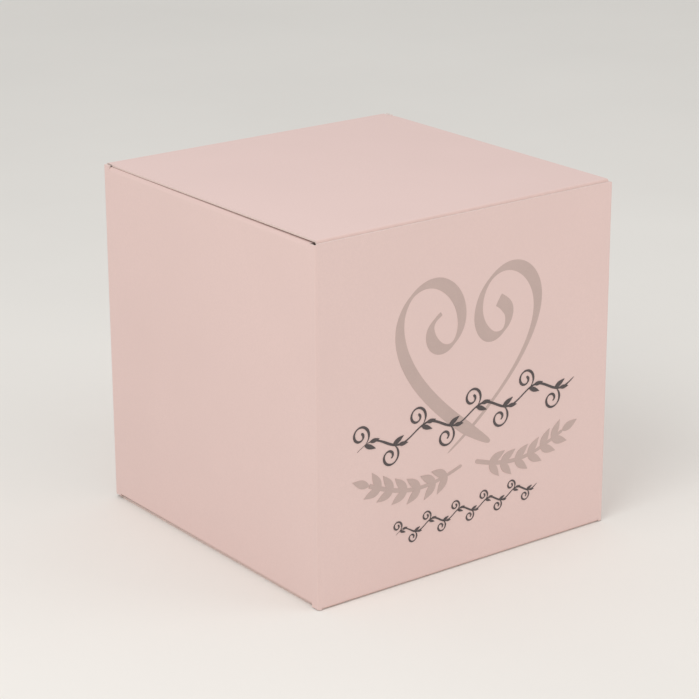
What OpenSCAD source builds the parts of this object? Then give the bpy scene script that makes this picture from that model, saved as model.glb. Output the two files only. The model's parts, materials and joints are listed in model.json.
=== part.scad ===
// Folded card favour box: a small cube with a tuck lid and a tuck base.
// The walls are four panels of one card sheet, closed by a glued seam at the back right corner.
// The lid swings on the back wall and the base swings on the front wall, so the two ends are
// the same closure turned half round about the X axis.
// Origin: centre of the underside. +Z is up and the decorated front wall faces -Y.

/* [Box] */
// Outside width, left to right
box_w = 50.8; // [40:0.2:120]
// Outside depth, front to back
box_d = 50.8; // [40:0.2:120]
// Outside height
box_h = 50.8; // [40:0.2:120]

/* [Card] */
// Thickness of the card
card_t = 0.3; // [0.25:0.05:0.45]
// Outer radius of every fold
fold_r = 0.5; // [0.5:0.05:0.8]
// Running gap between a fold and the panel that swings on it
fold_gap = 0.03; // [0.01:0.01:0.06]
// How far a wall's edge stops short of the outer face of the lid or base that it carries
edge_drop = 0.1; // [0.05:0.05:0.4]
// The same at the opposite wall, where the tuck flap goes in
tuck_drop = 0.3; // [0.05:0.05:0.4]

/* [Lid and base] */
// How far the sides of the lid and base are set in from the outside of the box
panel_inset = 0.45; // [0.35:0.05:1]
// How far the left end of the hinge fold is set in from the outside of the box
hinge_left_inset = 0.55; // [0.55:0.05:3]
// How far its right end is set in, where the back wall stops short for the glued seam
hinge_right_inset = 0.9; // [0.9:0.05:3]
// Slit between each end of the hinge fold and the wall edge beside it
hinge_slit = 0.05; // [0.03:0.01:0.3]
// Length over which the lid and base widen from the hinge fold to full width
relief_len = 3; // [1:0.5:6]
// Length of the tuck flaps
tuck_len = 12; // [8:0.5:14]
// How far each end of a tuck fold is set in from the outside of the box
tuck_root_inset = 0.5; // [0.45:0.05:1.4]
// How far each side of a tuck flap is set in, which clears the glue flap
tuck_inset = 1.4; // [1.4:0.1:4]
// Length of the slanted shoulder between the tuck fold and the sides of its flap
tuck_shoulder = 1.4; // [1:0.1:1.7]
// Radius of the tuck flaps' round corners
tuck_corner_r = 6; // [2:0.5:7]
// Inward lean of a tuck flap past the square, which keeps its tip off the wall as it opens
tuck_lean = 12; // [12:0.5:16]
// Gap between a tuck fold and the inside of the wall that it goes behind
tuck_gap = 0.1; // [0.05:0.01:0.2]

/* [Dust flaps] */
// Length of the dust flaps, from the outside of the wall
dust_len = 22; // [10:0.5:24]
// From the hinge wall's outer face to the near end of a dust flap's fold
dust_hinge_margin = 1.6; // [1.4:0.1:4]
// From the tuck wall's outer face to the near end of a dust flap's fold
dust_tuck_margin = 1.6; // [1.6:0.1:5]
// Taper of the edge beside the hinge wall, which keeps it under the rising lid
dust_hinge_taper = 32; // [32:0.5:40]
// Taper of the edge beside the tuck wall
dust_tuck_taper = 8; // [6:0.5:14]
// Size of the cut corners at a dust flap's tip
dust_chamfer = 2; // [0.5:0.5:4]
// Slit between a dust flap's fold and the wall edge beside it
dust_slit = 0.05; // [0.05:0.05:0.4]
// Gap between a dust flap and the closed lid or base, beside the hinge wall
dust_gap = 0.04; // [0.03:0.01:0.2]
// How much that gap grows towards the tuck wall, because the side folds are cut on a slant
dust_slant = 0.2; // [0:0.05:0.5]

/* [Glue seam] */
// Width of the glue flap, from its fold
glue_flap_w = 10; // [6:0.5:14]
// From the top and bottom of the box to the ends of the glue flap's fold
glue_flap_margin = 1; // [1:0.5:6]
// Taper of the glue flap's two ends
glue_flap_taper = 15; // [10:1:30]
// Thickness of the glue
glue_t = 0.06; // [0.04:0.01:0.1]
// How far the glue stops inside the edges of its flap
glue_border = 1.2; // [0.5:0.1:2.5]
// How far the right wall's free edge stops short of the back of the box
seam_setback = 0.15; // [0.05:0.05:0.4]

/* [Hidden] */
card_colour = [0.88, 0.77, 0.74];
fold_colour = [0.84, 0.73, 0.70];
flap_colour = [0.95, 0.94, 0.92];
glue_colour = [0.92, 0.88, 0.74];
$fn = 48;

half_w = box_w / 2;
half_d = box_d / 2;
// Slant of the side folds, as an angle from the Y axis
slant_angle = atan(dust_slant / box_d);
// Outer face of the fold between the lid and its tuck flap
tuck_face_y = -half_d + card_t + tuck_gap;
// Inside of the right wall, less the glue: the outer face of the glue flap
seam_x = half_w - card_t - glue_t;
// Ends of the dust flaps' folds along Y, at the top of the box
dust_front = -half_d + dust_tuck_margin;
dust_back = half_d - dust_hinge_margin;
// Ends of a lid's or base's hinge fold along X
hinge_left = hinge_left_inset - half_w;
hinge_right = half_w - hinge_right_inset;

// Height of the outer face of a top dust flap where its fold passes y
function side_top(y) = box_h - card_t - dust_gap - dust_slant * (half_d - y) / box_d;
// The same for the bottom dust flaps, whose closure is the top one turned half round
function side_bottom(y) = box_h - side_top(-y);

// Puts a part of the top closure at the bottom, turned half round about the box's middle
module at_base() {
    translate([0, 0, box_h]) rotate([180, 0, 0]) children();
}

// Puts a part of the left side on the right
module at_right() {
    mirror([1, 0, 0]) children();
}

// A flat sheet of card that stands along X, with its outer face at y
module sheet_along_x(y) {
    translate([0, y, 0]) rotate([90, 0, 0]) linear_extrude(card_t) children();
}

// A flat sheet that stands along Y, thick from x towards +X
module sheet_along_y(x, thick = card_t) {
    translate([x, 0, 0]) rotate([90, 0, 90]) linear_extrude(thick) children();
}

// Cross-section of a fold: card bent round from one direction through an angle
module fold_section(from, bend) {
    reach = 2 * fold_r;
    intersection() {
        difference() {
            circle(r = fold_r);
            circle(r = fold_r - card_t);
        }
        polygon(concat([[0, 0]], [for (k = [0 : 2])
            reach * [cos(from + k * bend / 2), sin(from + k * bend / 2)]]));
    }
}

// A fold that runs along X between left and right, round the line through y and z
module fold_along_x(left, right, y, z, from, bend = 90) {
    translate([left, y, z]) rotate([90, 0, 90])
        linear_extrude(right - left) fold_section(from, bend);
}

// A fold that stands upright between two heights, round the line through x and y
module fold_upright(x, y, low, high, from) {
    translate([x, y, low]) linear_extrude(high - low) fold_section(from, 90);
}

// Moves a part from beside the Y axis to the slanted fold line at the top of the left wall
module at_side_fold() {
    translate([-half_w, 0, side_top(0)]) rotate([slant_angle, 0, 0]) children();
}

// ---- Walls ----

// Outline of the front wall; the back wall is the same one turned half round.
// The slot at the bottom takes the hinge fold of the base.
module end_wall_outline(left, right) {
    difference() {
        translate([left, edge_drop]) square([right - left, box_h - edge_drop - tuck_drop]);
        translate([hinge_left - hinge_slit, 0])
            square([hinge_right - hinge_left + 2 * hinge_slit, fold_r]);
    }
}

// Outline of a side wall from one Y to another, with a slot at each end for a dust fold.
// Beside a hinge wall it has a low shoulder that is as high as that wall.
module side_wall_outline(front, back) {
    difference() {
        polygon([
            [front, edge_drop], [-dust_back, edge_drop],
            [-dust_back, side_bottom(-dust_back)], [back, side_bottom(back)],
            [back, box_h - edge_drop], [dust_back, box_h - edge_drop],
            [dust_back, side_top(dust_back)], [front, side_top(front)]
        ]);
        for (turn = [0, 180])
            translate([0, box_h / 2]) rotate(turn) translate([0, side_top(0) - box_h / 2])
                rotate(slant_angle) translate([dust_front - dust_slit, -fold_r])
                    square([dust_back - dust_front + 2 * dust_slit, 2 * fold_r]);
    }
}

module front_panel() {
    color(card_colour) sheet_along_x(-half_d + card_t)
        end_wall_outline(-half_w + fold_r, half_w - fold_r);
}

module back_panel() {
    color(card_colour) sheet_along_x(half_d)
        translate([0, box_h]) mirror([0, 1])
            end_wall_outline(-half_w + fold_r, seam_x - fold_r);
}

module left_panel() {
    color(card_colour) sheet_along_y(-half_w)
        side_wall_outline(-half_d + fold_r, half_d - fold_r);
}

module right_panel() {
    color(card_colour) sheet_along_y(half_w - card_t)
        side_wall_outline(-half_d + fold_r, half_d - seam_setback);
}

module fold_front_left() {
    color(fold_colour) fold_upright(-half_w + fold_r, -half_d + fold_r,
        edge_drop, side_top(-half_d), 180);
}

module fold_front_right() {
    color(fold_colour) fold_upright(half_w - fold_r, -half_d + fold_r,
        edge_drop, side_top(-half_d), 270);
}

module fold_back_left() {
    color(fold_colour) fold_upright(-half_w + fold_r, half_d - fold_r,
        side_bottom(half_d), box_h - edge_drop, 90);
}

// ---- Glue seam ----

module fold_glue_flap() {
    color(fold_colour) fold_upright(seam_x - fold_r, half_d - fold_r,
        glue_flap_margin, box_h - glue_flap_margin, 0);
}

// Outline of the glue flap, drawn in by a border on every side
module glue_flap_outline(border) {
    root = half_d - fold_r - border;
    tip = half_d - fold_r - glue_flap_w + border;
    low = glue_flap_margin + border;
    rise = (root - tip) * tan(glue_flap_taper);
    polygon([[root, low], [root, box_h - low], [tip, box_h - low - rise], [tip, low + rise]]);
}

module glue_flap() {
    color(flap_colour) sheet_along_y(seam_x - card_t) glue_flap_outline(0);
}

module glue_line() {
    color(glue_colour) sheet_along_y(seam_x, glue_t) glue_flap_outline(glue_border);
}

// ---- Lid, and the base as its copy ----

module lid_fold() {
    color(fold_colour) fold_along_x(hinge_left, hinge_right, half_d - fold_r, box_h - fold_r, 0);
}

module lid_panel() {
    hinge_y = half_d - fold_r - fold_gap;
    panel_half = half_w - panel_inset;
    color(card_colour) translate([0, 0, box_h - card_t]) linear_extrude(card_t) polygon([
        [hinge_left, hinge_y], [hinge_right, hinge_y], [panel_half, hinge_y - relief_len],
        [panel_half, tuck_face_y + fold_r], [-panel_half, tuck_face_y + fold_r],
        [-panel_half, hinge_y - relief_len]
    ]);
}

module lid_tuck_fold() {
    half = half_w - tuck_root_inset;
    color(fold_colour) fold_along_x(-half, half,
        tuck_face_y + fold_r, box_h - fold_r, 90, 90 + tuck_lean);
}

// Outline of a tuck flap, hanging down from the X axis with shoulders and round corners
module tuck_outline() {
    half = half_w - tuck_inset;
    root = half_w - tuck_root_inset;
    difference() {
        polygon([[-root, 0], [root, 0], [half, -tuck_shoulder], [half, -tuck_len],
            [-half, -tuck_len], [-half, -tuck_shoulder]]);
        for (side = [0, 1])
            mirror([side, 0]) translate([half - tuck_corner_r, tuck_corner_r - tuck_len])
                difference() {
                    translate([0, -2 * tuck_corner_r]) square(2 * tuck_corner_r);
                    circle(r = tuck_corner_r);
                }
    }
}

module lid_tuck_flap() {
    color(flap_colour) translate([0, tuck_face_y + fold_r, box_h - fold_r])
        rotate([tuck_lean, 0, 0]) translate([0, card_t - fold_r, -fold_gap])
            rotate([90, 0, 0]) linear_extrude(card_t) tuck_outline();
}

module base_fold() { at_base() lid_fold(); }
module base_panel() { at_base() lid_panel(); }
module base_tuck_fold() { at_base() lid_tuck_fold(); }
module base_tuck_flap() { at_base() lid_tuck_flap(); }

// ---- Dust flaps ----

module top_left_dust_fold() {
    color(fold_colour) at_side_fold() translate([fold_r, dust_back, -fold_r])
        rotate([90, 0, 0]) linear_extrude(dust_back - dust_front) fold_section(90, 90);
}

module top_left_dust_flap() {
    root = fold_r + fold_gap;
    reach = dust_len - root;
    front_tip = dust_front + reach * tan(dust_tuck_taper);
    back_tip = dust_back - reach * tan(dust_hinge_taper);
    color(flap_colour) at_side_fold() translate([0, 0, -card_t]) linear_extrude(card_t) polygon([
        [root, dust_front], [dust_len - dust_chamfer, front_tip],
        [dust_len, front_tip + dust_chamfer], [dust_len, back_tip - dust_chamfer],
        [dust_len - dust_chamfer, back_tip], [root, dust_back]
    ]);
}

module top_right_dust_fold() { at_right() top_left_dust_fold(); }
module top_right_dust_flap() { at_right() top_left_dust_flap(); }
module bottom_left_dust_fold() { at_base() top_left_dust_fold(); }
module bottom_left_dust_flap() { at_base() top_left_dust_flap(); }
module bottom_right_dust_fold() { at_base() at_right() top_left_dust_fold(); }
module bottom_right_dust_flap() { at_base() at_right() top_left_dust_flap(); }

front_panel();
left_panel();
back_panel();
right_panel();
glue_flap();
glue_line();
fold_front_left();
fold_front_right();
fold_back_left();
fold_glue_flap();
lid_fold();
lid_panel();
lid_tuck_fold();
lid_tuck_flap();
base_fold();
base_panel();
base_tuck_fold();
base_tuck_flap();
top_left_dust_fold();
top_left_dust_flap();
top_right_dust_fold();
top_right_dust_flap();
bottom_left_dust_fold();
bottom_left_dust_flap();
bottom_right_dust_fold();
bottom_right_dust_flap();
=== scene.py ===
"""Looks for the folded card favour box: the panels, flaps and folds of its one sheet of card, the
printed ornament, a plain pale floor, soft light and the camera."""

import json
from math import asin, atan2, cos, degrees, pi, radians, sin, tau

import bmesh
import bpy
import numpy as np
from mathutils import Euler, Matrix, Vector, noise


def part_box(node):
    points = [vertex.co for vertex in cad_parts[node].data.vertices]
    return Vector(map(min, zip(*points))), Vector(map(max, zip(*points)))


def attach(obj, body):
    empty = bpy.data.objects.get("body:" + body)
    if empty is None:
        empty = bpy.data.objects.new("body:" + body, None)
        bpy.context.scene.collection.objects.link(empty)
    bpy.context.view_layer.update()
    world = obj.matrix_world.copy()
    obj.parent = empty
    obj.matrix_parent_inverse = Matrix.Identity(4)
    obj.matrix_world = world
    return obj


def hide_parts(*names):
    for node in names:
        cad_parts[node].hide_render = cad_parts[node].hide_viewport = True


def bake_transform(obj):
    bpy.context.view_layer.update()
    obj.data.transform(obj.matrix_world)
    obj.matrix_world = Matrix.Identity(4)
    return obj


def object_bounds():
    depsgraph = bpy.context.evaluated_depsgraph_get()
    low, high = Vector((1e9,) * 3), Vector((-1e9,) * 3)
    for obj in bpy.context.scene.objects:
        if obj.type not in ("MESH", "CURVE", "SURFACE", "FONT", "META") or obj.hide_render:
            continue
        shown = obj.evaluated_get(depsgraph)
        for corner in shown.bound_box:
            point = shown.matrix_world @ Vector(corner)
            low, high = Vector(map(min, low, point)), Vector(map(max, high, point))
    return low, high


MM = 0.001

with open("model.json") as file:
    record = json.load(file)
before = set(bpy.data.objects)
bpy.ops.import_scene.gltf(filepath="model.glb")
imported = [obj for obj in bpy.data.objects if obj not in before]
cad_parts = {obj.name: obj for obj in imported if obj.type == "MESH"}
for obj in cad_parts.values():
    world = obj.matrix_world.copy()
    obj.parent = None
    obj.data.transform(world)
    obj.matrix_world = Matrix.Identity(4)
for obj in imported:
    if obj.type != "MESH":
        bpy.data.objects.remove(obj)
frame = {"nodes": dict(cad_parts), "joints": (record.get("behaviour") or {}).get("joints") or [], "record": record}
CAD_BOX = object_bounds()
NODES = frame["nodes"]
JOINTS = {j["name"]: j for j in frame["joints"]}
BODY_OF = {n: body for body, names in frame["record"]["behaviour"]["bodies"].items() for n in names}

X, Y, Z = Vector((1, 0, 0)), Vector((0, 1, 0)), Vector((0, 0, 1))

# ---- Sizes, read from the frame ----

HALF_W, HALF_D, HEIGHT = CAD_BOX[1]
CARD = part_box("left_panel")[1].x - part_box("left_panel")[0].x
FOLD_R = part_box("fold_front_left")[1].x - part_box("fold_front_left")[0].x

# ---- Finish of the card ----

RIM_BEVEL = 0.03 * MM  # softened arris of a die-cut edge
SLICE = 2.5 * MM  # spacing of the cuts that let a flat panel bend
FOLD_STEPS = 14  # facets round a fold
FOLD_RUN = 1.2 * MM  # length of a facet along a fold
WALL_BOW = 0.10 * MM  # how far the middle of a wall swells
LID_BOW = 0.12 * MM
FLAP_CURL = 0.35 * MM  # how far a flap's tip curls into the box
FOLD_DENT = 0.018 * MM  # unevenness of a fold's outer face
SHARP = radians(40)  # faces that meet at a larger angle are shaded with a hard edge
TOUCH = 0.05 * MM  # a panel's edge this near to a fold belongs to it
OUTSIDE, WHITE_SIDE, CUT_EDGE = 0, 1, 2  # material slots of a piece of card


def linear(red, green, blue):
    """A colour given as 0 to 255 screen values, as the linear values that shaders use."""
    return tuple(((c / 255 + 0.055) / 1.055) ** 2.4 for c in (red, green, blue)) + (1,)


BLUSH = linear(226, 199, 193)
# The colour below is a darker blush, painted shade for the middle of each fold's bend.
BLUSH_PAINTED_SHADE = linear(215, 186, 178)
CARD_WHITE = linear(238, 234, 228)
CARD_CORE = linear(222, 201, 194)
TAUPE_INK = linear(192, 169, 162)
GREY_INK = linear(84, 76, 76)
GLUE = linear(226, 214, 178)
FLOOR = linear(236, 233, 228)
SKY = (1, 1, 0.995, 1)


# ---- Materials ----


class Shader:
    """One material's node tree, with short calls for the nodes that the materials here share."""

    def __init__(self, name):
        self.material = bpy.data.materials.new(name)
        self.material.use_nodes = True
        self.tree = self.material.node_tree
        self.surface = self.tree.nodes["Principled BSDF"]
        self.place = self.tree.nodes.new("ShaderNodeTexCoord").outputs["Object"]

    def link(self, out, into):
        self.tree.links.new(out, into)

    def stretched(self, scale):
        node = self.tree.nodes.new("ShaderNodeMapping")
        node.inputs["Scale"].default_value = scale
        self.link(self.place, node.inputs["Vector"])
        return node.outputs["Vector"]

    def noise(self, size, detail=3, scale=(1, 1, 1)):
        """Noise whose features are about this many metres across."""
        node = self.tree.nodes.new("ShaderNodeTexNoise")
        node.inputs["Scale"].default_value = 1 / size
        node.inputs["Detail"].default_value = detail
        self.link(self.stretched(scale), node.inputs["Vector"])
        return node.outputs["Fac"]

    def steps(self, value, low, high):
        """value spread from low and high to 0 and 1."""
        node = self.tree.nodes.new("ShaderNodeMapRange")
        node.inputs["From Min"].default_value = low
        node.inputs["From Max"].default_value = high
        self.link(value, node.inputs["Value"])
        return node.outputs["Result"]

    def mix(self, share, first, second):
        """Two colours, or two sockets of colour, mixed."""
        node = self.tree.nodes.new("ShaderNodeMix")
        node.data_type = "RGBA"
        self.link(share, node.inputs["Factor"])
        for source, socket in ((first, node.inputs[6]), (second, node.inputs[7])):
            if isinstance(source, tuple):
                socket.default_value = source
            else:
                self.link(source, socket)
        return node.outputs[2]

    def bump(self, height, distance, strength=1.0, under=None):
        node = self.tree.nodes.new("ShaderNodeBump")
        node.inputs["Strength"].default_value = strength
        node.inputs["Distance"].default_value = distance
        self.link(height, node.inputs["Height"])
        if under:
            self.link(under, node.inputs["Normal"])
        return node.outputs["Normal"]

    def roughness(self, value, low, high):
        node = self.tree.nodes.new("ShaderNodeMapRange")
        node.inputs["To Min"].default_value = low
        node.inputs["To Max"].default_value = high
        self.link(value, node.inputs["Value"])
        self.link(node.outputs["Result"], self.surface.inputs["Roughness"])


def shade(colour, factor):
    """A colour made lighter or darker by a factor."""
    return tuple(c * factor for c in colour[:3]) + (1,)


def printed_card(name, colour):
    """Smooth coated card with a matt flat tint: faint cloudiness, fine fibre under the coat."""
    s = Shader(name)
    cloud = s.noise(14 * MM, 2)
    fibre = s.noise(0.22 * MM, 4)
    clouded = s.mix(s.steps(cloud, 0.3, 0.7), shade(colour, 0.985), shade(colour, 1.012))
    speckled = s.mix(s.steps(fibre, 0.35, 0.75), clouded, shade(colour, 0.972))
    s.link(speckled, s.surface.inputs["Base Color"])
    s.roughness(fibre, 0.5, 0.66)
    coarse = s.bump(cloud, 0.05 * MM, 0.35)
    s.link(s.bump(fibre, 0.012 * MM, 0.5, coarse), s.surface.inputs["Normal"])
    s.surface.inputs["Specular IOR Level"].default_value = 0.3
    return s.material


def folded_card(name, colour, painted_shade):
    """The printed card where it is creased: towards the top of the bend, which the mesh marks
    as its crease, the coat takes a darker colour that is painted shade, mottled at random, and its fibres show."""
    s = Shader(name)
    mark = s.tree.nodes.new("ShaderNodeAttribute")
    mark.attribute_name = "crease"
    fibre = s.noise(0.16 * MM, 4)
    mottle = s.noise(1.8 * MM, 3)
    print_colour = s.mix(s.steps(fibre, 0.35, 0.75), colour, shade(colour, 0.972))
    # Towards the crease mark the colour turns to painted shade, a darker blush mottled at random.
    painted_shade_colour = s.mix(s.steps(mottle, 0.35, 0.7), shade(painted_shade, 0.975), shade(painted_shade, 1.02))
    s.link(s.mix(mark.outputs["Fac"], print_colour, painted_shade_colour), s.surface.inputs["Base Color"])
    s.roughness(mottle, 0.5, 0.66)
    s.link(s.bump(fibre, 0.014 * MM, 0.5), s.surface.inputs["Normal"])
    s.surface.inputs["Specular IOR Level"].default_value = 0.3
    return s.material


def plain_card(name, colour):
    """Uncoated board: matted fibres with a few darker flecks."""
    s = Shader(name)
    fibre = s.noise(0.3 * MM, 5, (1, 0.45, 0.7))
    fleck = s.noise(0.55 * MM, 2)
    felted = s.mix(s.steps(fibre, 0.3, 0.75), shade(colour, 1.01), shade(colour, 0.95))
    flecked = s.mix(s.steps(fleck, 0.68, 0.8), felted, shade(colour, 0.86))
    s.link(flecked, s.surface.inputs["Base Color"])
    s.roughness(fibre, 0.78, 0.95)
    s.link(s.bump(fibre, 0.03 * MM, 0.7), s.surface.inputs["Normal"])
    s.surface.inputs["Specular IOR Level"].default_value = 0.2
    return s.material


def cut_card(name, colour):
    """The die-cut edge: a layered core with crushed fibres."""
    s = Shader(name)
    layer = s.noise(0.12 * MM, 3, (0.25, 0.25, 1))
    crush = s.noise(0.5 * MM, 4)
    layered = s.mix(s.steps(layer, 0.35, 0.7), shade(colour, 1.03), shade(colour, 0.9))
    crushed = s.mix(s.steps(crush, 0.55, 0.75), layered, shade(colour, 0.93))
    s.link(crushed, s.surface.inputs["Base Color"])
    s.roughness(layer, 0.8, 0.95)
    s.link(s.bump(crush, 0.02 * MM, 0.6), s.surface.inputs["Normal"])
    return s.material


def ink(name, colour, depth):
    """Flat ink that sinks a little unevenly into the coat."""
    s = Shader(name)
    grain = s.noise(0.18 * MM, 4)
    pool = s.noise(3 * MM, 2)
    pooled = s.mix(s.steps(pool, 0.3, 0.7), shade(colour, 1 + depth / 2), shade(colour, 1 - depth / 2))
    grained = s.mix(s.steps(grain, 0.5, 0.8), pooled, shade(colour, 1 + depth))
    s.link(grained, s.surface.inputs["Base Color"])
    s.roughness(grain, 0.45, 0.6)
    s.link(s.bump(grain, 0.006 * MM, 0.4), s.surface.inputs["Normal"])
    s.surface.inputs["Specular IOR Level"].default_value = 0.3
    return s.material


def dried_glue(name, colour):
    """A thin skin of dried carton glue with strings and small bubbles."""
    s = Shader(name)
    string = s.noise(0.8 * MM, 3, (1, 1, 0.2))
    bubble = s.noise(0.25 * MM, 2)
    stringy = s.mix(s.steps(string, 0.4, 0.65), shade(colour, 0.86), colour)
    bubbled = s.mix(s.steps(bubble, 0.62, 0.75), stringy, shade(colour, 1.1))
    s.link(bubbled, s.surface.inputs["Base Color"])
    s.roughness(bubble, 0.25, 0.5)
    s.link(s.bump(bubble, 0.02 * MM, 0.8), s.surface.inputs["Normal"])
    return s.material


def plain_floor(name, colour):
    """A pale matt floor, hardly clouded."""
    s = Shader(name)
    cloud = s.noise(60 * MM, 3)
    grain = s.noise(0.6 * MM, 3)
    clouded = s.mix(s.steps(cloud, 0.3, 0.7), shade(colour, 0.985), shade(colour, 1.01))
    s.link(clouded, s.surface.inputs["Base Color"])
    s.roughness(grain, 0.75, 0.9)
    s.surface.inputs["Specular IOR Level"].default_value = 0.15
    return s.material


PRINT = printed_card("blush_print", BLUSH)
FOLD_PRINT = folded_card("blush_fold", BLUSH, BLUSH_PAINTED_SHADE)
INSIDE = plain_card("card_inside", CARD_WHITE)
CUT = cut_card("card_cut_edge", CARD_CORE)
TAUPE = ink("taupe_ink", TAUPE_INK, 0.05)
GREY = ink("grey_ink", GREY_INK, 0.12)


# ---- Meshes ----


def finished(name, bm, materials):
    """A mesh object from bm, shaded smooth but for its sharp edges."""
    mesh = bpy.data.meshes.new(name)
    bm.normal_update()
    for face in bm.faces:
        face.smooth = True
    bm.to_mesh(mesh)
    bm.free()
    mesh.set_sharp_from_angle(angle=SHARP)
    for material in materials:
        mesh.materials.append(material)
    piece = bpy.data.objects.new(name, mesh)
    bpy.context.scene.collection.objects.link(piece)
    return piece


def within(point, node, margin):
    """Whether a point lies in a CAD node's box, or within margin of it."""
    low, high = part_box(node)
    return all(low[k] - margin <= point[k] <= high[k] + margin for k in range(3))


def nearest(point, node):
    """The point of a CAD node's box that is nearest to point."""
    low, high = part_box(node)
    return Vector([min(max(point[k], low[k]), high[k]) for k in range(3)])


def sliced(bm, low, high):
    """Cuts the mesh into a grid of cells, so that it can bend."""
    for k, axis in enumerate((X, Y, Z)):
        cuts = int((high[k] - low[k]) / SLICE)
        for i in range(1, cuts):
            at = Vector((0, 0, 0))
            at[k] = low[k] + (high[k] - low[k]) * i / cuts
            geometry = bm.verts[:] + bm.edges[:] + bm.faces[:]
            bmesh.ops.bisect_plane(bm, geom=geometry, dist=1e-7, plane_co=at, plane_no=axis)


def swell(low, high, outward, height):
    """How far a wall's point moves: most in the middle, nothing along the edges."""
    spans = [k for k in range(3) if abs(outward[k]) < 0.5]

    def move(point):
        share = 1.0
        for k in spans:
            across = (point[k] - low[k]) / (high[k] - low[k])
            share *= sin(pi * min(max(across, 0), 1)) ** 2
        return outward * (height * share)

    return move


def curl(root, reach, length, outward, depth):
    """How far a flap's point moves: nothing at its root, most at its tip."""

    def move(point):
        share = min(max((point - root).dot(reach) / length, 0), 1)
        return outward * (-depth * share * share)

    return move


def meet_folds(bm, folds):
    """Closes the running gap between a panel's edges and the folds beside them."""
    for vert in bm.verts:
        for fold in folds:
            if within(vert.co, fold, TOUCH):
                vert.co = nearest(vert.co, fold)


def free_rims(bm, folds):
    """The panel's edges that are cut, and not joined to a fold."""
    rims = []
    for edge in bm.edges:
        middle = (edge.verts[0].co + edge.verts[1].co) / 2
        joined = any(within(middle, fold, TOUCH) for fold in folds)
        if edge.calc_face_angle(0) > radians(20) and not joined:
            rims.append(edge)
    return rims


def card_piece(node, outward, folds, move):
    """The card of one CAD panel or flap: softened rims, a slight bend and two-sided print."""
    bm = bmesh.new()
    bm.from_mesh(NODES[node].data)
    bmesh.ops.remove_doubles(bm, verts=bm.verts, dist=1e-6)
    bmesh.ops.dissolve_limit(bm, angle_limit=radians(1), verts=bm.verts, edges=bm.edges)
    meet_folds(bm, folds)
    rims = free_rims(bm, folds)
    bmesh.ops.bevel(bm, geom=rims, offset=RIM_BEVEL, segments=2, profile=0.5, affect="EDGES")
    sliced(bm, *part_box(node))
    bm.normal_update()
    for face in bm.faces:
        facing = face.normal.dot(outward)
        face.material_index = OUTSIDE if facing > 0.6 else WHITE_SIDE if facing < -0.6 else CUT_EDGE
    for vert in bm.verts:
        vert.co += move(vert.co)
    piece = finished(node + "_card", bm, (PRINT, INSIDE, CUT))
    even = piece.modifiers.new("even_shading", "WEIGHTED_NORMAL")
    even.keep_sharp = True
    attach(piece, BODY_OF[node])
    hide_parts(node)
    return piece


def turned(first, second, angle):
    """The direction reached from first by turning towards second through an angle in degrees."""
    return first * cos(radians(angle)) + second * sin(radians(angle))


def fold_rings(bm, centre, first, second, along, bend, ends_first, ends_second, crease_shade):
    """The points of a fold, as one ring along it for each step of its bend. Each point is a
    pair, outside and inside."""
    crease = bm.verts.layers.float.new("crease")
    longest = max(abs(e[1] - e[0]) for e in (ends_first, ends_second))
    runs = max(2, int(longest / FOLD_RUN))
    rings = []
    for i in range(FOLD_STEPS + 1):
        share = i / FOLD_STEPS
        spoke = turned(first, second, bend * share)
        start = ends_first[0] + (ends_second[0] - ends_first[0]) * share
        stop = ends_first[1] + (ends_second[1] - ends_first[1]) * share
        ring = []
        for j in range(runs + 1):
            at = centre + along * (start + (stop - start) * j / runs)
            dent = noise.noise(at * (1 / (2.5 * MM))) * FOLD_DENT * sin(pi * share)
            outside = bm.verts.new(at + spoke * (FOLD_R + dent))
            # The crease mark: how much painted shade the print takes, most at the middle of the bend.
            outside[crease] = crease_shade * sin(pi * share) ** 2
            ring.append((outside, bm.verts.new(at + spoke * (FOLD_R - CARD))))
        rings.append(ring)
    return rings


def fold_skin(bm, rings):
    """The closed skin of a fold over its rings of points."""
    last = len(rings[0]) - 1
    for ring, after in zip(rings, rings[1:]):
        for j in range(last):
            for side in (OUTSIDE, WHITE_SIDE):
                corners = [ring[j][side], ring[j + 1][side], after[j + 1][side], after[j][side]]
                bm.faces.new(corners).material_index = side
        for j in (0, last):
            face = bm.faces.new([ring[j][0], ring[j][1], after[j][1], after[j][0]])
            face.material_index = CUT_EDGE
    for ring in (rings[0], rings[-1]):
        for j in range(last):
            face = bm.faces.new([ring[j][0], ring[j + 1][0], ring[j + 1][1], ring[j][1]])
            face.material_index = CUT_EDGE
    bmesh.ops.recalc_face_normals(bm, faces=bm.faces)


def fold_piece(node, centre, first, second, along, bend, ends_first, ends_second, crease_shade, child=None):
    """A fold of the card round the line through centre. It starts where the parent panel faces
    first and turns towards second through bend, in degrees. Each end of the strip runs from its
    place on the parent to its place on the child. The argument after the ends sets the painted
    shade on the bend: how far its print is darkened, from 0 to 1."""
    bm = bmesh.new()
    rings = fold_rings(bm, centre, first, second, along, bend, ends_first, ends_second, crease_shade)
    fold_skin(bm, rings)
    piece = finished(node + "_card", bm, (FOLD_PRINT, INSIDE, CUT))
    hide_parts(node)
    if child:
        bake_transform(piece)
    else:
        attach(piece, BODY_OF[node])
    return piece


# ---- Walls and glue seam ----


def wall(node, outward, folds):
    """A wall, which swells a little between its folds."""
    low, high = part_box(node)
    return card_piece(node, outward, folds, swell(low, high, outward, WALL_BOW))


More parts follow.
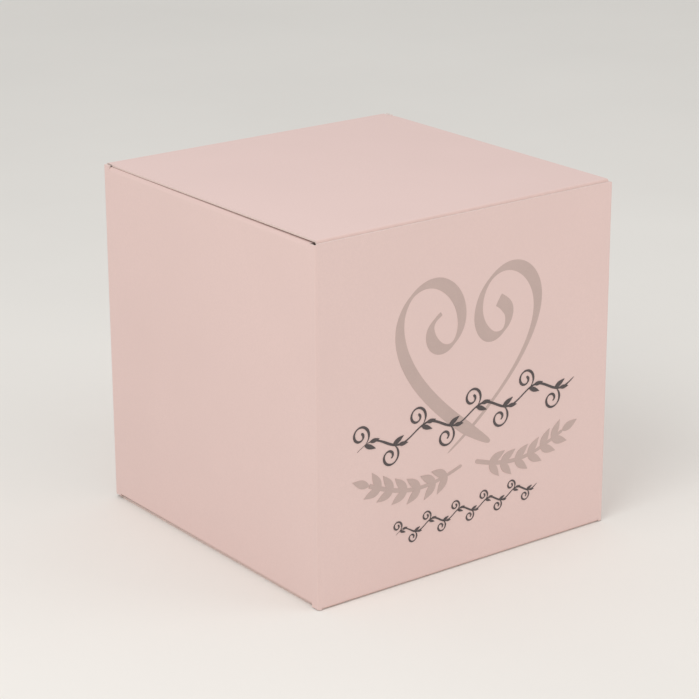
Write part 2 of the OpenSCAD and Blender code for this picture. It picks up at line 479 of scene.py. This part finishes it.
DUST_PLACES = [(end, side) for end in ("top", "bottom") for side in ("left", "right")]
DUST_FOLDS = [f"{end}_{side}_dust_fold" for end, side in DUST_PLACES]
UPRIGHT_CREASE_SHADE, CROSS_CREASE_SHADE, DUST_CREASE_SHADE = 0.15, 1.0, 0.5  # how far painted shade darkens the print on each kind of fold
wall("front_panel", -Y, ["fold_front_left", "fold_front_right", "base_fold"])
wall("back_panel", Y, ["fold_back_left", "fold_glue_flap", "lid_fold"])
wall("left_panel", -X, ["fold_front_left", "fold_back_left"] + DUST_FOLDS)
wall("right_panel", X, ["fold_front_right"] + DUST_FOLDS)
card_piece("glue_flap", X, ["fold_glue_flap"], lambda point: Vector((0, 0, 0)))


def upright_fold(node, end_wall, first, second):
    """A corner fold from an end wall, which faces first, to a side wall, which faces second.
    Its two ends run from the height of one wall's edges to the height of the other's."""
    low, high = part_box(node)
    corner = (low + high) / 2 + (first + second) * FOLD_R / 2
    centre = corner - (first + second) * FOLD_R
    at_side = (low.z, high.z)
    at_end = (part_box(end_wall)[0].z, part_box(end_wall)[1].z) if end_wall else at_side
    centre.z = 0
    fold_piece(node, centre, first, second, Z, 90, at_end, at_side, UPRIGHT_CREASE_SHADE)


upright_fold("fold_front_left", "front_panel", -Y, -X)
upright_fold("fold_front_right", "front_panel", -Y, X)
upright_fold("fold_back_left", "back_panel", Y, -X)
upright_fold("fold_glue_flap", None, Y, X)

# ---- Lid and base ----


def tuck_lean():
    """How far the tuck flap leans past the square, from the fold's own size, in degrees."""
    low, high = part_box("lid_tuck_fold")
    return degrees(asin((high.z - low.z - FOLD_R) / FOLD_R))


TUCK_LEAN = tuck_lean()


def cross_fold(node, child, up, side, first, second, bend):
    """A fold that runs across the box where the lid or base begins or ends. up is the way the
    lid or base looks, and side the way the fold looks at its other end."""
    low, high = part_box(node)
    reach = high.y if side.y > 0 else low.y
    face = HEIGHT if up.z > 0 else 0
    centre = Vector((0, reach - side.y * FOLD_R, face - up.z * FOLD_R))
    ends = (low.x, high.x)
    fold_piece(node, centre, first, second, X, bend, ends, ends, CROSS_CREASE_SHADE, child)


def closure(name, up, inward, bow):
    """The lid, or the base turned half round. up is the way its outer face looks, inward is the
    way from its hinge to its tuck flap, and bow is how far its middle swells."""
    panel, hinge, tuck_fold, tuck_flap = (
        f"{name}_{part}" for part in ("panel", "fold", "tuck_fold", "tuck_flap")
    )
    low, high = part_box(panel)
    card_piece(panel, up, [hinge, tuck_fold], swell(low, high, up, bow))
    cross_fold(hinge, name, up, -inward, -inward, up, 90)
    cross_fold(tuck_fold, f"{name}_tuck", up, inward, up, inward, 90 + TUCK_LEAN)
    low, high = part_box(tuck_flap)
    root = Vector((0, low.y if inward.y < 0 else high.y, HEIGHT if up.z > 0 else 0))
    move = curl(root, -up, high.z - low.z, inward, FLAP_CURL)
    card_piece(tuck_flap, inward, [tuck_fold], move)


closure("lid", Z, -Y, LID_BOW)
closure("base", -Z, Y, 0)


# ---- Dust flaps ----


def dust_flap(end, side):
    """A dust flap and its fold, which slants along its joint's axis."""
    fold, flap = f"{end}_{side}_dust_fold", f"{end}_{side}_dust_flap"
    joint = JOINTS[f"{end}_{side}_dust_hinge"]
    up = Z if end == "top" else -Z
    outward = X if side == "right" else -X
    along = Vector(joint["axis"]).normalized()
    along *= 1 if along.y > 0 else -1
    lift = (up - along * up.dot(along)).normalized()
    corner = Vector(joint["pos_m"])
    centre = corner - outward * FOLD_R - lift * FOLD_R
    low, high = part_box(fold)
    ends = (low.y - corner.y, high.y - corner.y)
    fold_piece(fold, centre, outward, lift, along, 90, ends, ends, DUST_CREASE_SHADE, BODY_OF[flap])
    low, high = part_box(flap)
    card_piece(flap, up, [fold], curl(corner, -outward, high.x - low.x, up, FLAP_CURL))


for end, side in DUST_PLACES:
    dust_flap(end, side)

NODES["glue_line"].data.materials.clear()
NODES["glue_line"].data.materials.append(dried_glue("dried_glue", GLUE))

# ---- Printed ornament ----
# Its places are in millimetres on the front wall, from the bottom left corner of the box.

FRONT_SWELL = swell(*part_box("front_panel"), -Y, WALL_BOW)
INK_LAYER = 0.006 * MM


def on_front(u, v, layer):
    """A point of the print, in metres, on the swelling face of the front wall."""
    flat = Vector((u * MM - HALF_W, -HALF_D, v * MM))
    return flat + FRONT_SWELL(flat) - Y * (INK_LAYER * layer)


def ink_shape(bm, left, right, layer):
    """A printed stroke between two lists of (u, v), as a thin closed skin of ink. It rises a
    little along its length, so that a stroke can cross itself."""
    count = len(left)
    columns = []
    for i in range(count):
        top = layer + i / count
        columns.append([bm.verts.new(on_front(*p, h)) for h in (top, -1) for p in (left[i], right[i])])
    for a, b in zip(columns, columns[1:]):
        for k, m in ((0, 1), (1, 3), (3, 2), (2, 0)):
            bm.faces.new([a[k], a[m], b[m], b[k]])
    for column in (columns[0], columns[-1]):
        bm.faces.new([column[0], column[1], column[3], column[2]])


def pen_stroke(bm, path, thin, thick, nib, layer):
    """A broad-nib stroke along path: thick across the nib's angle, thin along it, with a long
    hairline entry and a rounder exit."""
    points = np.array(path)
    way = np.gradient(points, axis=0)
    way /= np.linalg.norm(way, axis=1)[:, None]
    across = np.stack([-way[:, 1], way[:, 0]], axis=1)
    across_nib = np.abs(way[:, 0] * sin(radians(nib)) - way[:, 1] * cos(radians(nib)))
    half = (thin + (thick - thin) * across_nib**1.5) / 2
    along = np.linspace(0, 1, len(points))
    half *= np.clip(along * 8, 0.06, 1) * np.clip((1 - along) * 30, 0.05, 1) ** 0.5
    left, right = points + across * half[:, None], points - across * half[:, None]
    ink_shape(bm, left.tolist(), right.tolist(), layer)


def spline(points, steps=12):
    """A smooth path that starts and ends at the outer points and is drawn towards the others."""
    first, last = points[0], points[-1]
    p = np.array([first, first, *points, last, last], float)
    path = []
    for i in range(len(p) - 3):
        a, b, c, d = p[i : i + 4]
        for k in range(steps):
            t = k / steps
            ahead = (1 - t) ** 3 * a + (3 * t**3 - 6 * t**2 + 4) * b
            path.append((ahead + (-3 * t**3 + 3 * t**2 + 3 * t + 1) * c + t**3 * d) / 6)
    path.append(p[-1])
    return path[1:]


def leaf(bm, root, angle, length, width, layer, steps=10):
    """A pointed leaf that grows from root at an angle in degrees."""
    turn = radians(angle)
    way, across = np.array([cos(turn), sin(turn)]), np.array([-sin(turn), cos(turn)])
    left, right = [], []
    for k in range(steps + 1):
        t = k / steps
        belly = max(width / 2 * sin(pi * t**0.8), 0.01)
        spine = np.array(root) + way * length * t
        left.append((spine + across * belly).tolist())
        right.append((spine - across * belly).tolist())
    ink_shape(bm, left, right, layer)


def ink_piece(name, bm, material):
    """The finished ink of one ornament, on the front wall."""
    bmesh.ops.recalc_face_normals(bm, faces=bm.faces)
    piece = finished(name, bm, (material,))
    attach(piece, BODY_OF["front_panel"])


def placed(points, centre, size, flip):
    """Points drawn about the origin, scaled, mirrored if flip is -1, and moved to centre."""
    return [(centre[0] + x * size * flip, centre[1] + y * size) for x, y in points]


NIB = 40  # angle of the pen's broad edge, in degrees
WALL_MIDDLE = HALF_W / MM
# Half of an upright scroll heart, from its short crossed tail round the lobe to the curl inside
HALF_HEART = [
    (-0.3, -1.04), (0.12, -0.76), (0.62, -0.3), (0.93, 0.16), (1.0, 0.58), (0.8, 0.9),
    (0.46, 0.98), (0.16, 0.76), (0.08, 0.4), (0.26, 0.14), (0.52, 0.2), (0.58, 0.46), (0.4, 0.58),
]
LEAF_SPREAD = 38  # angle between a spray's leaf and its stem, in degrees
LEAF_WIDTH = 0.4  # of its length
# Stem of one of the two leafy sprays under the heart, from the middle outwards
SPRAY_STEM = [(1.2, 0.6), (6.0, -1.0), (11.4, -1.0), (17.0, 1.4)]


def scroll_heart(name, centre, size, thin, thick, layer):
    """An upright heart of two mirrored strokes, whose ends curl inside its lobes."""
    bm = bmesh.new()
    for k, flip in enumerate((1, -1)):
        path = spline(placed(HALF_HEART, centre, size, flip), 14)
        pen_stroke(bm, path, thin, thick, NIB, layer + 2 * k)
    ink_piece(name, bm, TAUPE)


def evenly(path, count):
    """Indices of count inner points of path that are the same distance apart along it."""
    run = np.cumsum(np.linalg.norm(np.diff(np.array(path), axis=0), axis=1))
    return [int(np.searchsorted(run, run[-1] * i / (count + 1))) + 1 for i in range(1, count + 1)]


def sprays(name, centre, leaf_length, pairs, layer):
    """Two leafy sprays, each the mirror image of the other about centre."""
    bm = bmesh.new()
    for flip in (1, -1):
        stem = spline(placed(SPRAY_STEM, centre, 1, flip), 14)
        pen_stroke(bm, stem, 0.4, 0.7, NIB, layer)
        for at in evenly(stem, pairs):
            (x0, y0), (x1, y1) = stem[at - 1], stem[at + 1]
            heading = degrees(atan2(y1 - y0, x1 - x0))
            for k, side in enumerate((1, -1)):
                angle = heading + side * LEAF_SPREAD
                leaf(bm, stem[at], angle, leaf_length, leaf_length * LEAF_WIDTH, layer + 1 + k)
        leaf(bm, stem[-2], heading, leaf_length, leaf_length * LEAF_WIDTH, layer + 1)
    ink_piece(name, bm, TAUPE)


scroll_heart("ornament_heart", (WALL_MIDDLE, 30.2), 12.4, 0.5, 1.95, 1)
sprays("ornament_sprays", (WALL_MIDDLE, 14.4), 3.0, 6, 5)


CURL_TURNS = 1.35
CURL_SHRINK = 0.78  # share of its radius that a curl loses from its root to its tip


def tendril(bm, root, heading, radius, hand, thin, thick, layer):
    """A curl that leaves root at a heading in degrees and winds in to the left or right."""
    way = radians(heading)
    centre = (root[0] - hand * radius * sin(way), root[1] + hand * radius * cos(way))
    path = []
    steps = 44
    for k in range(steps + 1):
        t = k / steps
        angle = way - hand * pi / 2 + hand * t * CURL_TURNS * tau
        reach = radius * (1 - CURL_SHRINK * t)
        path.append((centre[0] + reach * cos(angle), centre[1] + reach * sin(angle)))
    pen_stroke(bm, path, thin, thick, NIB, layer)


def vine(name, length, height, lift, wave, waves, pen):
    """A stem that waves across the middle of the wall, its right end higher by lift, with curls
    and leaves by turns."""
    bm = bmesh.new()
    left = WALL_MIDDLE - length / 2
    per_wave = 32
    count = waves * per_wave
    stem = []
    for k in range(count + 1):
        share = k / count
        rise = lift * share + wave * sin(tau * waves * share)
        stem.append((left + length * share, height + rise))
    pen_stroke(bm, stem, pen * 0.45, pen, NIB, 8)
    curl_radius = length / waves * 0.17
    for k in range(per_wave // 8, count, per_wave // 2):
        hand = 1 if (k // (per_wave // 2)) % 2 == 0 else -1
        (x0, y0), (x1, y1) = stem[k - 1], stem[k + 1]
        heading = degrees(atan2(y1 - y0, x1 - x0))
        tendril(bm, stem[k], heading, curl_radius, hand, pen * 0.4, pen, 10)
        leaf(bm, stem[k], heading - hand * 48, curl_radius * 1.25, curl_radius * 0.42, 12)
        leaf(bm, stem[k + 3], heading - hand * 20, curl_radius, curl_radius * 0.36, 13)
    ink_piece(name, bm, GREY)


vine("ornament_vine", 38, 21, 2.4, 0.9, 4, 0.38)
vine("ornament_small_vine", 25, 7.6, 1.4, 0.55, 5, 0.26)

# ---- Floor, light and camera ----

FLOOR_SIZE = 40 * HEIGHT
FLOOR_SINK = 0.01 * MM


def floor():
    """The plain floor, a hair below the box."""
    bpy.ops.mesh.primitive_plane_add(size=FLOOR_SIZE, location=(0, 0, -FLOOR_SINK))
    plane = bpy.context.object
    plane.name = "floor"
    plane.data.materials.append(plain_floor("pale_floor", FLOOR))


def soft_light(name, place, size, power):
    """A square lamp at place, in box heights, that looks at the middle of the box."""
    data = bpy.data.lights.new(name, "AREA")
    data.size = size * HEIGHT
    data.energy = power
    lamp = bpy.data.objects.new(name, data)
    bpy.context.scene.collection.objects.link(lamp)
    lamp.location = Vector(place) * HEIGHT
    aim = Vector((0, 0, HEIGHT / 2)) - lamp.location
    lamp.rotation_euler = aim.to_track_quat("-Z", "Y").to_euler()


def sky(strength):
    """Even light from all round."""
    world = bpy.data.worlds.new("studio")
    world.use_nodes = True
    background = world.node_tree.nodes["Background"]
    background.inputs["Color"].default_value = SKY
    background.inputs["Strength"].default_value = strength
    bpy.context.scene.world = world


def camera(azimuth, elevation, distance, aim, lens, roll):
    """Looks at aim, given in box heights from the middle of the underside."""
    data = bpy.data.cameras.new("camera")
    data.lens = lens
    data.sensor_width = 36
    data.clip_start = 0.01
    eye = bpy.data.objects.new("camera", data)
    bpy.context.scene.collection.objects.link(eye)
    a, e = radians(azimuth), radians(elevation)
    back = Vector((sin(a) * cos(e), -cos(a) * cos(e), sin(e)))
    eye.location = Vector(aim) * HEIGHT + back * distance * HEIGHT
    look = (-back).to_track_quat("-Z", "Y")
    eye.rotation_mode = "QUATERNION"
    eye.rotation_quaternion = look @ Euler((0, 0, radians(roll))).to_quaternion()
    bpy.context.scene.camera = eye


floor()
sky(0.71)
soft_light("key", (-4.4, -1.6, 5.8), 4, 0.45)
soft_light("fill", (5.5, -6.0, 3.0), 5, 0.36)
camera(-37.01, 18.81, 6.793, (0.004, 0.032, 0.4725), 123.8, -0.22)
bpy.context.scene.view_settings.view_transform = "Standard"
bpy.context.scene.view_settings.look = "None"
